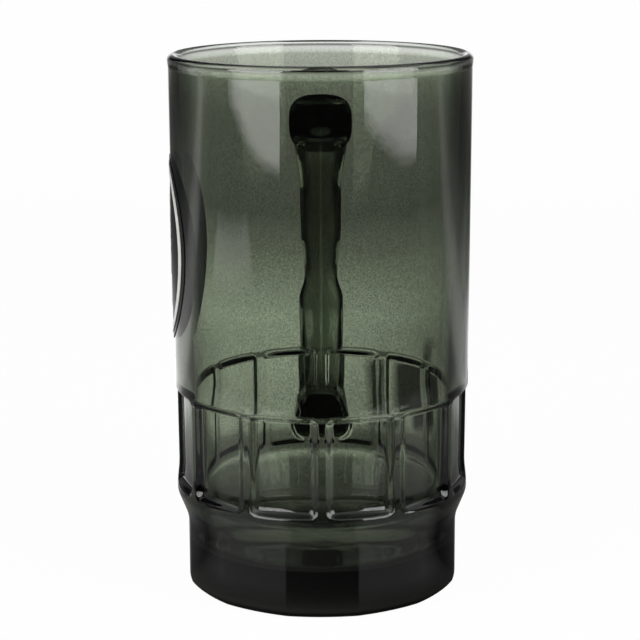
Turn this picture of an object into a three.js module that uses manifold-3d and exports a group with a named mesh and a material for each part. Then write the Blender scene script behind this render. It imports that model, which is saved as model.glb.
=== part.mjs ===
// A tall pressed-glass beer mug: a panelled, straight-sided body, a loop handle fused to its back,
// and a fired enamel badge on its left side.
// Millimetres, +Z up. The mug stands on z = 0 with its axis on Z, its handle towards +Y and its badge towards -X.
import * as THREE from 'three';
import { mergeVertices } from 'three/addons/utils/BufferGeometryUtils.js';
import Module from 'manifold-3d';

// Body: the plain wall, from the rim down to the panels
const mugHeight = 130;
const bodyRadius = 36.17; // outside of the plain wall, just under the rim
const bodyDraft = 0.42; // how much narrower the plain wall is where the panels start
const wallThickness = 2.3;
const rimThickness = 2.9; // the fire-polished bead, a full round
const rimProud = 0.18; // how far the bead stands out from the plain wall
const rimBlend = 3.2; // height over which the wall swells into the bead

// Band of recessed panels
const panelCount = 12;
const panelBottom = 25.6; // the lip at the foot of each panel
const panelTop = 50;
const panelDepth = 1.9; // at the middle of a panel, from the plain wall
const panelFloorCurve = 65; // radius of the slightly crowned panel floor
const panelWall = 1.75; // glass left behind the middle of a panel
const panelCorner = 2.2; // corner radius of the panel floor
const panelLedge = 3.2; // height of the sloping ledge at the foot of a panel
const panelStep = 3; // height of the step at the head of a panel
const panelDraft = 0.22; // how much further in the panels and ridges lie at their feet than at their heads
const ridgeSink = 0.42; // how far a ridge crest lies below the plain wall, at its head
const ridgeCrest = 0.8; // width of the crest
const ridgeFlank = 1.95; // width of the slope from the crest to the panel floor

// Collar, slope and faceted foot
const collarSink = 0.14; // how far the collar lies inside the plain wall
const collarHeight = 24.4; // level of its widest point
const collarRound = 4.6; // radius of its underside
const lipInset = 0.15; // from the collar's widest point in to the lip of the panels
const slopeAngle = THREE.MathUtils.degToRad(22); // of the slope, from upright
const footInset = 2.8; // from the plain wall in to the middle of each facet of the foot
const footFacetCurve = 46; // radius of the slightly crowned facets
const footWall = 3;
const baseThickness = 10;
const heelRadius = 2.2;
const innerCorner = 3; // radius between the inner floor and wall

// Handle
const handleReach = 38; // from the plain wall to the back of the grip
const upperArmDrop = 21.8; // from the rim down to the middle of the upper arm
const lowerArmHeight = 32; // from the table to the middle of the lower arm
const upperBend = 17; // bend radii of the middle line
const lowerBend = 22;
const upperArmWidth = 16.6;
const wideBendShare = 0.6; // share of the upper bend that keeps the arm's width
const gripShoulder = 8; // length of the grip over which the arm's width runs out
const gripTopWidth = 12.5;
const gripWaistWidth = 10.4;
const gripWaistDrop = 69; // from the rim down to the waist
const gripFootWidth = 14.2;
const gripThickness = 8.6;
const rootSwell = 0.6; // how much wider each root is than its arm
const upperRootDepth = 15; // heights of the roots
const lowerRootDepth = 10.4;
const rootFlare = 5; // length over which an arm swells into its root
const rootClearance = 0.3; // between a root and the glass that it is fused to

// Enamel badge
const badgeWidth = 33;
const badgeHeight = 45;
const badgeAbovePanels = 11; // from the top of the panels to the lowest edge of the badge
const keylineInset = 1.5; // from the edge of the field to the keyline
const keylineWidth = 1.7;
const earHeight = 29; // the barley ear in the middle
const grainLength = 6.6;
const grainWidth = 2.7;
const grainPairs = 4;
const grainSplay = THREE.MathUtils.degToRad(32);
const stalkWidth = 1.1;
const enamelThickness = 0.2;
const enamelClearance = 0.12; // under each layer of enamel

// Values that follow from the sizes above
const pitch = (2 * Math.PI) / panelCount;
const halfPitch = pitch / 2;
const panelTopRadius = bodyRadius - bodyDraft;
const panelFloorRadius = panelTopRadius - panelDepth;
const collarRadius = panelTopRadius - collarSink;
const lipRadius = collarRadius - lipInset;
const footFacetRadius = panelTopRadius - footInset;
const innerBandRadius = panelFloorRadius - panelWall;
const innerFootRadius = footFacetRadius - footWall;
const rimRadius = bodyRadius + rimProud;
const rimRound = rimThickness / 2;

const wasm = await Module();
wasm.setup();

// Outside radius of the plain wall at a level
function plainRadius(z) {
  const down = (mugHeight - z) / (mugHeight - panelTop);
  return bodyRadius - bodyDraft * down;
}

// Angle from the nearest ridge, from 0 at its crest to halfPitch in the middle of a panel
function fromRidge(angle) {
  const turns = angle / pitch;
  return Math.abs(turns - Math.round(turns)) * pitch;
}

const crestAngle = ridgeCrest / 2 / panelTopRadius;
const flankAngle = (ridgeCrest / 2 + ridgeFlank) / panelTopRadius;
const cornerAngle = (ridgeCrest / 2 + ridgeFlank + panelCorner) / panelTopRadius;

// Radius of a crowned face at an angle off its middle, from the radius there and the face's own curve
function crowned(middle, curve, off) {
  const centre = middle - curve;
  return centre * Math.cos(off) + Math.sqrt(curve ** 2 - (centre * Math.sin(off)) ** 2);
}

// Outside radius across the panels: a crest, a flank and a crowned floor
function floorRadius(away) {
  return crowned(panelFloorRadius, panelFloorCurve, halfPitch - away);
}

function bandRadius(angle, z) {
  const away = fromRidge(angle);
  const drawnIn = (panelDraft * (panelTop - z)) / (panelTop - panelBottom);
  const crest = panelTopRadius - ridgeSink;
  if (away <= crestAngle) return crest - drawnIn;
  if (away >= flankAngle) return floorRadius(away) - drawnIn;
  const share = (away - crestAngle) / (flankAngle - crestAngle);
  return THREE.MathUtils.lerp(crest, floorRadius(flankAngle), share) - drawnIn;
}

// How far the floor's round corners draw in at its ends: most at the foot of a flank, and not at all on a crest
function cornerLift(angle) {
  const away = fromRidge(angle);
  if (away >= cornerAngle || away <= crestAngle) return 0;
  if (away <= flankAngle) return (panelCorner * (away - crestAngle)) / (flankAngle - crestAngle);
  const share = (cornerAngle - away) / (cornerAngle - flankAngle);
  return panelCorner * (1 - Math.sqrt(1 - share ** 2));
}

// The foot has a crowned facet under each ridge
function footRadius(angle) {
  return crowned(footFacetRadius, footFacetCurve, fromRidge(angle));
}

// The collar's underside is an arc that runs on into the straight slope
const collarCentre = collarRadius - collarRound;
const slopeRadius = collarCentre + collarRound * Math.cos(slopeAngle);
const slopeHeight = collarHeight - collarRound * Math.sin(slopeAngle);

function slopeLevel(radius) {
  return slopeHeight - (slopeRadius - radius) / Math.tan(slopeAngle);
}

// Columns round the mug: the same features in each half pitch, mirrored about each ridge
function columnAngles() {
  const floorStep = (cornerAngle + halfPitch) / 2;
  const half = [0, crestAngle, flankAngle, cornerAngle, floorStep];
  const mirrored = [halfPitch, ...half.slice(1).reverse()].map((a, i) => (i === 0 ? a : pitch - a));
  const angles = [];
  for (let ridge = 0; ridge < panelCount; ridge++) {
    for (const a of [...half, ...mirrored]) angles.push(ridge * pitch + a);
  }
  angles.push(2 * Math.PI);
  return angles;
}

// A body from rings: each ring gives a radius and a level for an angle, and angle 0 faces -Y
function ringBody(rings, angles) {
  const profile = rings.map((ring, i) => new THREE.Vector2(1, i));
  const geometry = new THREE.LatheGeometry(profile, angles.length - 1);
  const position = geometry.attributes.position;
  angles.forEach((angle, column) => {
    rings.forEach((ring, row) => {
      const [radius, z] = ring(angle);
      const index = column * rings.length + row;
      position.setXYZ(index, radius * Math.sin(angle), -radius * Math.cos(angle), z);
    });
  });
  return geometry;
}

function outerRings() {
  const rings = [];
  rings.push(() => [0, 0]);
  for (const turn of [0, 30, 60, 90]) {
    const a = THREE.MathUtils.degToRad(turn);
    rings.push((t) => [footRadius(t) - heelRadius * (1 - Math.sin(a)), heelRadius * (1 - Math.cos(a))]);
  }
  rings.push((t) => [footRadius(t), slopeLevel(footRadius(t))]);
  for (const share of [1, 0.5, 0]) {
    const a = slopeAngle * share;
    rings.push(() => [collarCentre + collarRound * Math.cos(a), collarHeight - collarRound * Math.sin(a)]);
  }
  const floorFoot = panelBottom + panelLedge;
  const floorHead = panelTop - panelStep;
  const ledge = (t) => THREE.MathUtils.lerp(lipRadius, bandRadius(t, floorFoot), 0.67);
  const step = (t) => THREE.MathUtils.lerp(panelTopRadius, bandRadius(t, floorHead), 0.36);
  rings.push(() => [lipRadius, panelBottom]);
  rings.push((t) => [ledge(t), panelBottom + panelLedge * 0.45 + cornerLift(t) * 0.4]);
  rings.push((t) => [bandRadius(t, floorFoot), floorFoot + cornerLift(t)]);
  rings.push((t) => [bandRadius(t, floorHead), floorHead - cornerLift(t)]);
  rings.push((t) => [step(t), panelTop - panelStep * 0.35 - cornerLift(t) * 0.3]);
  rings.push(() => [panelTopRadius, panelTop]);
  const shoulder = mugHeight - rimRound - rimBlend;
  rings.push(() => [plainRadius((panelTop + shoulder) / 2), (panelTop + shoulder) / 2]);
  rings.push(() => [plainRadius(shoulder), shoulder]);
  return rings;
}

function rimRings() {
  const rings = [];
  for (const turn of [0, 30, 60, 90, 120, 150, 180]) {
    const a = THREE.MathUtils.degToRad(turn);
    const radius = rimRadius - rimRound + rimRound * Math.cos(a);
    const z = mugHeight - rimRound + rimRound * Math.sin(a);
    rings.push(() => [radius, z]);
  }
  return rings;
}

function innerRings() {
  const rings = [];
  const shoulder = mugHeight - rimRound - rimBlend;
  const bandTop = panelTop - panelStep;
  const bandBottom = panelBottom + panelLedge / 2;
  const blendTop = panelTop + panelStep;
  rings.push(() => [plainRadius(shoulder) - wallThickness, shoulder]);
  rings.push(() => [plainRadius(blendTop) - wallThickness, blendTop]);
  rings.push(() => [(plainRadius(blendTop) - wallThickness + innerBandRadius) / 2, panelTop]);
  rings.push(() => [innerBandRadius, bandTop]);
  rings.push(() => [innerBandRadius, bandBottom]);
  for (const turn of [0, 45, 90]) {
    const a = THREE.MathUtils.degToRad(turn);
    const radius = innerFootRadius - innerCorner * (1 - Math.cos(a));
    const z = baseThickness + innerCorner * (1 - Math.sin(a));
    rings.push(() => [radius, z]);
  }
  rings.push(() => [0, baseThickness]);
  return rings;
}

function bodyGeometry() {
  return ringBody([...outerRings(), ...rimRings(), ...innerRings()], columnAngles());
}

// Outside radius of the whole body at an angle and a level
function outsideRadius(angle, z) {
  const outline = outerRings().map((ring) => ring(angle));
  const next = outline.findIndex(([, level]) => level >= z);
  const [lowRadius, low] = outline[next - 1];
  const [highRadius, high] = outline[next];
  return THREE.MathUtils.mapLinear(z, low, high, lowRadius, highRadius);
}

// The back of the body at a place across (x) and up (z), pushed out by the clearance of a root
function rootSeat(x, z) {
  let y = bodyRadius;
  for (let pass = 0; pass < 4; pass++) {
    const radius = outsideRadius(Math.atan2(x, -y), z) + rootClearance;
    y = Math.sqrt(radius ** 2 - x ** 2);
  }
  return y;
}

// The handle's middle line, in the plane of Y and Z, from the upper root to the lower one
function handleLine() {
  const top = mugHeight - upperArmDrop;
  const bottom = lowerArmHeight;
  const back = bodyRadius + handleReach - gripThickness / 2;
  const line = new THREE.Path();
  line.moveTo(rootSeat(0, top), top);
  line.lineTo(back - upperBend, top);
  line.absarc(back - upperBend, top - upperBend, upperBend, Math.PI / 2, 0, true);
  line.lineTo(back, bottom + lowerBend);
  line.absarc(back - lowerBend, bottom + lowerBend, lowerBend, 0, -Math.PI / 2, true);
  line.lineTo(rootSeat(0, bottom), bottom);
  return line;
}

// Widths of the handle at lengths along its middle line, from the upper root to the lower one
function handleWidths(length) {
  const gripDistance = handleReach - gripThickness / 2;
  const upperArc = (upperBend * Math.PI) / 2;
  const lowerArc = (lowerBend * Math.PI) / 2;
  const wideEnd = gripDistance - upperBend + upperArc * wideBendShare;
  const gripTop = gripDistance - upperBend + upperArc;
  const waist = gripTop + gripWaistDrop - upperArmDrop - upperBend;
  const gripFoot = length - (gripDistance - lowerBend) - lowerArc;
  return [
    [0, upperArmWidth],
    [wideEnd, upperArmWidth],
    [gripTop + gripShoulder, gripTopWidth],
    [(gripTop + gripShoulder + waist) / 2, gripTopWidth],
    [waist, gripWaistWidth],
    [gripFoot, gripFootWidth],
    [length, gripFootWidth],
  ];
}

function handleGeometry() {
  const line = handleLine();
  const length = line.getLength();
  const stations = handleWidths(length);
  const geometry = new THREE.CylinderGeometry(1, 1, 1, 20, 48);
  const position = geometry.attributes.position;
  for (let i = 0; i < position.count; i++) {
    const share = position.getY(i) + 0.5;
    const along = share * length;
    const point = line.getPointAt(share);
    const tangent = line.getTangentAt(share);
    const next = Math.max(1, stations.findIndex(([place]) => place >= along - 1e-6));
    const [from, fromWidth] = stations[next - 1];
    const [to, toWidth] = stations[next];
    const blend = THREE.MathUtils.smoothstep(along, from, to);
    const swell = Math.max(0, 1 - Math.min(along, length - along) / rootFlare) ** 2;
    const width = THREE.MathUtils.lerp(fromWidth, toWidth, blend) + rootSwell * swell;
    const rootDepth = share < 0.5 ? upperRootDepth : lowerRootDepth;
    const depth = THREE.MathUtils.lerp(gripThickness, rootDepth, swell);
    const across = (position.getX(i) * width) / 2;
    const out = (position.getZ(i) * depth) / 2;
    const z = point.y + out * tangent.x;
    const onRoot = share < 1e-6 || share > 1 - 1e-6;
    const y = onRoot ? rootSeat(across, z) : point.x - out * tangent.y;
    position.setXYZ(i, across, y, z);
  }
  return geometry;
}

// Solids and meshes for joining and cutting
function solidOf(geometry) {
  const plain = geometry.clone();
  plain.deleteAttribute('normal');
  plain.deleteAttribute('uv');
  const merged = mergeVertices(plain, 1e-4);
  const triVerts = merged.index ? Uint32Array.from(merged.index.array) : undefined;
  const vertProperties = Float32Array.from(merged.attributes.position.array);
  return new wasm.Manifold(new wasm.Mesh({ numProp: 3, vertProperties, triVerts }));
}

function geometryOf(solid) {
  const mesh = solid.getMesh();
  const geometry = new THREE.BufferGeometry();
  geometry.setAttribute('position', new THREE.BufferAttribute(Float32Array.from(mesh.vertProperties), 3));
  geometry.setIndex(new THREE.BufferAttribute(Uint32Array.from(mesh.triVerts), 1));
  geometry.computeVertexNormals();
  return geometry;
}

const badgeLevel = panelTop + badgeAbovePanels + badgeHeight / 2;

// A thin shell of enamel all round the plain wall, from which a badge layer is cut
function enamelShell(layer) {
  const reach = badgeHeight / 2 + 2;
  const under = enamelClearance + layer * (enamelThickness + enamelClearance);
  const low = badgeLevel - reach;
  const high = badgeLevel + reach;
  const profile = [
    new THREE.Vector2(plainRadius(low) + under, low),
    new THREE.Vector2(plainRadius(low) + under + enamelThickness, low),
    new THREE.Vector2(plainRadius(high) + under + enamelThickness, high),
    new THREE.Vector2(plainRadius(high) + under, high),
    new THREE.Vector2(plainRadius(low) + under, low),
  ];
  return solidOf(new THREE.LatheGeometry(profile, 96).rotateX(Math.PI / 2));
}

// A flat outline, drawn as seen from the left side of the mug, pushed through the -X wall
function badgeCutter(shape) {
  const geometry = new THREE.ExtrudeGeometry(shape, { depth: bodyRadius, bevelEnabled: false, curveSegments: 24 });
  const frame = new THREE.Matrix4().makeBasis(
    new THREE.Vector3(0, -1, 0), new THREE.Vector3(0, 0, 1), new THREE.Vector3(-1, 0, 0));
  geometry.applyMatrix4(frame);
  geometry.translate(-bodyRadius / 3, 0, badgeLevel);
  return solidOf(geometry);
}

function oval(inset) {
  return new THREE.Shape().absellipse(0, 0, badgeWidth / 2 - inset, badgeHeight / 2 - inset, 0, 2 * Math.PI);
}

function grain(x, y, lean) {
  return new THREE.Shape().absellipse(x, y, grainWidth / 2, grainLength / 2, 0, 2 * Math.PI, false, lean);
}

function keylineShape() {
  const shape = oval(keylineInset);
  shape.holes.push(oval(keylineInset + keylineWidth));
  return shape;
}

// A barley ear: a stalk, leaning pairs of grains up it, and one grain at its tip
function barleySolid() {
  const foot = -earHeight / 2;
  const tip = earHeight / 2 - grainLength / 2;
  const stalk = new THREE.Shape();
  stalk.moveTo(-stalkWidth / 2, foot);
  stalk.lineTo(stalkWidth / 2, foot);
  stalk.lineTo(stalkWidth / 2, tip);
  stalk.lineTo(-stalkWidth / 2, tip);
  stalk.closePath();
  const rise = (earHeight - 1.5 * grainLength) / (grainPairs + 1);
  const out = (grainLength / 2) * Math.sin(grainSplay) * 0.85;
  let ear = badgeCutter(stalk).add(badgeCutter(grain(0, tip, 0)));
  for (let pair = 0; pair < grainPairs; pair++) {
    const y = tip - (pair + 1) * rise;
    ear = ear.add(badgeCutter(grain(-out, y, grainSplay)));
    ear = ear.add(badgeCutter(grain(out, y, -grainSplay)));
  }
  return ear;
}

function material(color, roughness, opacity) {
  const see = opacity < 1;
  return new THREE.MeshStandardMaterial({ color, roughness, metalness: 0, transparent: see, opacity });
}

const group = new THREE.Group();

function addPart(name, geometry, finish) {
  const mesh = new THREE.Mesh(geometry, finish);
  mesh.name = name;
  group.add(mesh);
}

const smokeGlass = material('#5c655a', 0.05, 0.45);
const blackEnamel = material('#17181a', 0.3, 1);
const whiteEnamel = material('#f1f1ec', 0.35, 1);

addPart('body', bodyGeometry(), smokeGlass);
addPart('handle', handleGeometry(), smokeGlass);
addPart('badge_field', geometryOf(enamelShell(0).intersect(badgeCutter(oval(0)))), blackEnamel);
addPart('badge_keyline', geometryOf(enamelShell(1).intersect(badgeCutter(keylineShape()))), whiteEnamel);
addPart('badge_barley_ear', geometryOf(enamelShell(1).intersect(barleySolid())), whiteEnamel);

export default group;
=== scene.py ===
# %% [markdown]
# A tall beer mug in smoke grey-green glass, with twelve pressed panels, a faceted foot, a loop handle fused
# to its back and an oval enamel badge on its left side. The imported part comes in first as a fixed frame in
# metres, and every piece below is made in that frame, so nothing is fitted afterwards.

# %% Load the frame
import math

import bpy
from mathutils import Matrix, Vector


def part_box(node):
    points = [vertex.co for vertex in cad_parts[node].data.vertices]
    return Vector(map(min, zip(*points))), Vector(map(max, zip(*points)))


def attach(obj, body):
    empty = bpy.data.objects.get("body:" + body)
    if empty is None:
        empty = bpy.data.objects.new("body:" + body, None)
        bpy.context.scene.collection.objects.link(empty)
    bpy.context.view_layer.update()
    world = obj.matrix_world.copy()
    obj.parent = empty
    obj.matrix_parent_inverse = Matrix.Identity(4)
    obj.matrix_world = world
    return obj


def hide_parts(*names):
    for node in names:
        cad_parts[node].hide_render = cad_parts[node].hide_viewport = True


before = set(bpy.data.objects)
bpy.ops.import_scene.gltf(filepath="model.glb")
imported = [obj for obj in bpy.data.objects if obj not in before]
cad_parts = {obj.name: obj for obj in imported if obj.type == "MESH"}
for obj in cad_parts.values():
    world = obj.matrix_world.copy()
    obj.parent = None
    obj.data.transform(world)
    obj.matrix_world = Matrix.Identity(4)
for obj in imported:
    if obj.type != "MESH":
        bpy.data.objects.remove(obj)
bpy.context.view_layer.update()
print("nodes in the frame:", sorted(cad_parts))

# %% [markdown]
# The camera stands about half a metre in front of the mug and a hand's breadth above its rim, and looks
# down on it by twelve degrees. The long lens keeps the sides of the mug nearly parallel. The small roll is
# the photograph's own: the mug leans to the left by a quarter of a degree there.

# %% Camera
MM = 0.001
CAMERA_PLACE = Vector((-0.32, -509.7, 175.5)) * MM
CAMERA_PITCH = math.radians(12.232)
CAMERA_ROLL = math.radians(-0.24)
FOCAL_PIXELS = 2140.0
IMAGE_PIXELS = 640.0

bpy.ops.object.camera_add(location=CAMERA_PLACE)
camera = bpy.context.object
camera.name = "camera"
aim = Matrix.Rotation(math.pi / 2 - CAMERA_PITCH, 4, "X") @ Matrix.Rotation(CAMERA_ROLL, 4, "Z")
camera.rotation_euler = aim.to_euler()
camera.data.sensor_width = 36.0
camera.data.lens = camera.data.sensor_width * FOCAL_PIXELS / IMAGE_PIXELS
camera.data.clip_start = 0.01
bpy.context.scene.camera = camera
bpy.context.scene.view_settings.view_transform = "Standard"
print("lens:", round(camera.data.lens, 2), "mm")

# %% [markdown]
# Every material is a small tree of nodes. One function adds a node, gives it its settings and fills its
# inputs, either with a value or with a link from another node. Colours are written as they look on a
# screen, and one function turns them into the linear values that the renderer works with.

# %% Node and colour helpers
def add_node(tree, kind, inputs=None, **settings):
    """Adds a node of one kind to a tree, with its settings, and with values or links in its inputs."""
    node = tree.nodes.new(kind)
    for name, value in settings.items():
        setattr(node, name, value)
    for name, value in (inputs or {}).items():
        if isinstance(value, bpy.types.NodeSocket):
            tree.links.new(value, node.inputs[name])
        else:
            node.inputs[name].default_value = value
    return node


def linear(hex_colour):
    """Turns an sRGB hex colour into linear red, green, blue and alpha."""
    channels = [int(hex_colour[i:i + 2], 16) / 255 for i in (1, 3, 5)]
    values = [c / 12.92 if c <= 0.04045 else ((c + 0.055) / 1.055) ** 2.4 for c in channels]
    return (*values, 1.0)


def new_material(name):
    """Makes a material with an empty node tree, and returns it with the tree and its output node."""
    material = bpy.data.materials.new(name)
    material.use_nodes = True
    tree = material.node_tree
    tree.nodes.clear()
    return material, tree, add_node(tree, "ShaderNodeOutputMaterial")


def per_metre(size_in_mm):
    """The scale of a noise whose patches are about this wide, on coordinates in metres."""
    return 1 / (size_in_mm * MM)


print("middle grey in linear light:", round(linear("#808080")[0], 3))

# %% [markdown]
# Smoke glass is soda-lime glass, pressed hot and then tinted: a thin grey-green stain lies on its surface
# and the glass itself is a little smoky, so a wall is clear enough to see through while the thick foot is
# nearly black. The stain goes into the base colour, which tints a ray each time it crosses the surface, and
# the smoke goes into an absorbing volume, which darkens a ray with the length of glass it goes through. The
# stain was sprayed, so it has a fine speckle, drawn coarser than real so that it shows, and it is thin on
# the polished rim and gone from the seam of the handle. Glass that cooled in a mould is never quite flat,
# so two weak bumps make its reflections waver.

# %% Smoke glass
GLASS_IOR = 1.52
SPECKLE_WIDTH = 0.4
THICK_STAIN_AT = 0.3
THIN_STAIN_AT = 0.7
WAVE_WIDTH = 11.0
WAVE_HEIGHT = 0.06
PEEL_WIDTH = 2.2
PEEL_HEIGHT = 0.004
BUMP_STRENGTH = 0.5
RIM_STAIN_END = 127.0
RIM_BARE_START = 128.4
RIM_BARE_SHARE = 0.6
SMOKE = "#5c6556"


def smoke_glass(name, thin_stain, thick_stain, smoke, smoke_per_metre, bare_seam=0.0):
    """Tinted soda-lime glass with a speckled stain on its surface and an absorbing body."""
    material, tree, output = new_material(name)
    place = add_node(tree, "ShaderNodeTexCoord").outputs["Object"]
    speckle = add_node(tree, "ShaderNodeTexNoise", {
        "Vector": place, "Scale": per_metre(SPECKLE_WIDTH), "Detail": 1.0, "Roughness": 0.6})
    stain = add_node(tree, "ShaderNodeValToRGB", {"Fac": speckle.outputs["Fac"]})
    stain.color_ramp.elements[0].position = THICK_STAIN_AT
    stain.color_ramp.elements[0].color = linear(thick_stain)
    stain.color_ramp.elements[1].position = THIN_STAIN_AT
    stain.color_ramp.elements[1].color = linear(thin_stain)
    wave = add_node(tree, "ShaderNodeTexNoise", {
        "Vector": place, "Scale": per_metre(WAVE_WIDTH), "Detail": 0.0})
    peel = add_node(tree, "ShaderNodeTexNoise", {
        "Vector": place, "Scale": per_metre(PEEL_WIDTH), "Detail": 0.0})
    wavy = add_node(tree, "ShaderNodeBump", {
        "Height": wave.outputs["Fac"], "Strength": BUMP_STRENGTH, "Distance": WAVE_HEIGHT * MM})
    peeled = add_node(tree, "ShaderNodeBump", {
        "Height": peel.outputs["Fac"], "Normal": wavy.outputs["Normal"], "Strength": BUMP_STRENGTH,
        "Distance": PEEL_HEIGHT * MM})
    across = add_node(tree, "ShaderNodeSeparateXYZ", {"Vector": place})
    aside = add_node(tree, "ShaderNodeMath", {0: across.outputs["X"]}, operation="ABSOLUTE")
    bare = add_node(tree, "ShaderNodeMapRange", {
        "Value": aside.outputs["Value"], "From Min": bare_seam / 2 * MM, "From Max": bare_seam * MM,
        "To Min": 1.0 if bare_seam else 0.0, "To Max": 0.0})
    rim = add_node(tree, "ShaderNodeMapRange", {
        "Value": across.outputs["Z"], "From Min": RIM_STAIN_END * MM, "From Max": RIM_BARE_START * MM,
        "To Min": 0.0, "To Max": RIM_BARE_SHARE})
    bare = add_node(tree, "ShaderNodeMath", {
        0: bare.outputs["Result"], 1: rim.outputs["Result"]}, operation="MAXIMUM")
    tint = add_node(tree, "ShaderNodeMix", {
        0: bare.outputs["Value"], 6: stain.outputs["Color"], 7: (1, 1, 1, 1)}, data_type="RGBA")
    glass = add_node(tree, "ShaderNodeBsdfPrincipled", {
        "Base Color": tint.outputs[2], "Roughness": 0.0, "IOR": GLASS_IOR,
        "Transmission Weight": 1.0, "Normal": peeled.outputs["Normal"]})
    body = add_node(tree, "ShaderNodeVolumeAbsorption", {
        "Color": linear(smoke), "Density": smoke_per_metre})
    tree.links.new(glass.outputs["BSDF"], output.inputs["Surface"])
    tree.links.new(body.outputs["Volume"], output.inputs["Volume"])
    return material


body_glass = smoke_glass(
    "stained_soda_lime_glass", thin_stain="#dde5d5", thick_stain="#b9c0b2", smoke=SMOKE,
    smoke_per_metre=120.0)
handle_glass = smoke_glass(
    "smoky_soda_lime_glass", thin_stain="#a8afa3", thick_stain="#989f94", smoke=SMOKE,
    smoke_per_metre=75.0, bare_seam=0.26)
print("glass:", body_glass.name, handle_glass.name)

# %% [markdown]
# Enamel is powdered glass with a pigment, printed through a fine screen and fired on, so it is opaque and
# glossy. The mesh of the screen leaves a faint weave in its surface, and the colour is a little uneven
# where the print was thicker. Both are drawn about twice as coarse as real, so that a close render shows
# them.

# %% Enamels
ENAMEL_IOR = 1.5
SCREEN_PITCH = 0.32
SCREEN_SCATTER = 0.25
WEAVE_HEIGHT = 0.01
WEAVE_STRENGTH = 0.3
PRINT_PATCH = 3.0
THIN_PRINT_AT = 0.35
THICK_PRINT_AT = 0.65
GLOSSIER = 0.05
DULLER = 0.08


def fired_enamel(name, thin, thick, roughness, shine):
    """Screen-printed enamel: a little uneven in colour, with the weave of the screen in relief."""
    material, tree, output = new_material(name)
    place = add_node(tree, "ShaderNodeTexCoord").outputs["Object"]
    patch = add_node(tree, "ShaderNodeTexNoise", {
        "Vector": place, "Scale": per_metre(PRINT_PATCH), "Detail": 3.0})
    colour = add_node(tree, "ShaderNodeValToRGB", {"Fac": patch.outputs["Fac"]})
    colour.color_ramp.elements[0].position = THIN_PRINT_AT
    colour.color_ramp.elements[0].color = linear(thin)
    colour.color_ramp.elements[1].position = THICK_PRINT_AT
    colour.color_ramp.elements[1].color = linear(thick)
    screen = add_node(tree, "ShaderNodeTexVoronoi", {
        "Vector": place, "Scale": per_metre(SCREEN_PITCH), "Randomness": SCREEN_SCATTER})
    weave = add_node(tree, "ShaderNodeBump", {
        "Height": screen.outputs["Distance"], "Strength": WEAVE_STRENGTH, "Distance": WEAVE_HEIGHT * MM})
    gloss = add_node(tree, "ShaderNodeMapRange", {
        "Value": patch.outputs["Fac"], "To Min": roughness - GLOSSIER, "To Max": roughness + DULLER})
    enamel = add_node(tree, "ShaderNodeBsdfPrincipled", {
        "Base Color": colour.outputs["Color"], "Roughness": gloss.outputs["Result"], "IOR": ENAMEL_IOR,
        "Specular IOR Level": shine, "Normal": weave.outputs["Normal"]})
    tree.links.new(enamel.outputs["BSDF"], output.inputs["Surface"])
    return material


black_enamel = fired_enamel("black_fired_enamel", "#141517", "#1b1c1e", roughness=0.3, shine=0.12)
white_enamel = fired_enamel("white_fired_enamel", "#e6e6e0", "#f3f3ee", roughness=0.32, shine=0.4)
print("enamels:", black_enamel.name, white_enamel.name)

# %% [markdown]
# The sizes are in millimetres and follow the solids, apart from small rounds and the inside of the wall.
# The wall leans out a little towards the rim. Below it, twelve panels are pressed between narrow ridges,
# and under them the collar rolls in to a slope that is cut by the twelve facets of the foot. One facet lies
# under each ridge.

# %% Sizes of the vessel
MUG_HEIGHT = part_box("body")[1].z / MM
# The plain wall and the rim
RIM_RADIUS = 36.35
RIM_ROUND = 1.35
RIM_BLEND = 2.0
BODY_RADIUS = 36.17
BODY_DRAFT = 0.42
WALL = 2.5
# The panels and the ridges between them
PANELS = 12
PITCH = 2 * math.pi / PANELS
PANEL_BOTTOM = 24.7
PANEL_TOP = 50.0
PANEL_TOP_RADIUS = BODY_RADIUS - BODY_DRAFT
PANEL_FLOOR_RADIUS = 33.85
PANEL_FLOOR_CURVE = 65.0
PANEL_LEDGE = 2.5
PANEL_HEAD = 2.2
PANEL_CORNER = 2.8
PANEL_DRAFT = 0.22
RIDGE_SINK = 0.42
RIDGE_CREST = 0.8
RIDGE_FLANK = 1.95
RIDGE_RISE = 6.0
# The width of each flank of a panel, and the shares of it that are rounded at its crest and at its foot
SIDE = (RIDGE_FLANK, 0.25, 0.25)
HEAD = (PANEL_HEAD, 0.6, 0.1)
LEDGE = (PANEL_LEDGE, 0.4, 0.6)
# The collar, the slope and the foot
COLLAR_RADIUS = 35.61
COLLAR_HEIGHT = 24.4
COLLAR_ROUND = 4.6
COLLAR_TOP_ROUND = 12.0
SLOPE_ANGLE = math.radians(22)
FOOT_RADIUS = 32.95
FOOT_CURVE = 46.0
FOOT_EDGE_ROUND = 0.7
HEEL_RADIUS = 2.2
# The pad under the lower root of the handle
LOWER_LEVEL = 32.0
PAD_HALF_WIDTH = 6.6
PAD_HALF_HEIGHT = 6.2
PAD_RADIUS = 35.2
PAD_DROP = 2.0
PAD_FADE = 0.25
# The bore
TAPER_TOP = 124.0
TAPER_END = 50.0
PANEL_WALL = 2.65
FOOT_WALL = 5.0
BASE_THICKNESS = 10.0
INNER_CORNER = 3.0
INNER_BAND_RADIUS = PANEL_FLOOR_RADIUS - PANEL_WALL
INNER_FOOT_RADIUS = FOOT_RADIUS - FOOT_WALL
print("mug:", round(MUG_HEIGHT, 2), "mm tall,", round(2 * RIM_RADIUS, 1), "mm over the rim")

# %% [markdown]
# A press leaves straight flanks with a round at the crest and one at the foot, and soft joins where two
# surfaces meet. These small functions give such shapes as numbers, so that the same rounds can be used all
# over the vessel.

# %% Rounds and flanks
def clamp(value):
    """A value held between 0 and 1."""
    return min(1.0, max(0.0, value))


def smooth(share):
    """Eases a share in and out between 0 and 1."""
    share = clamp(share)
    return share * share * (3 - 2 * share)


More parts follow.
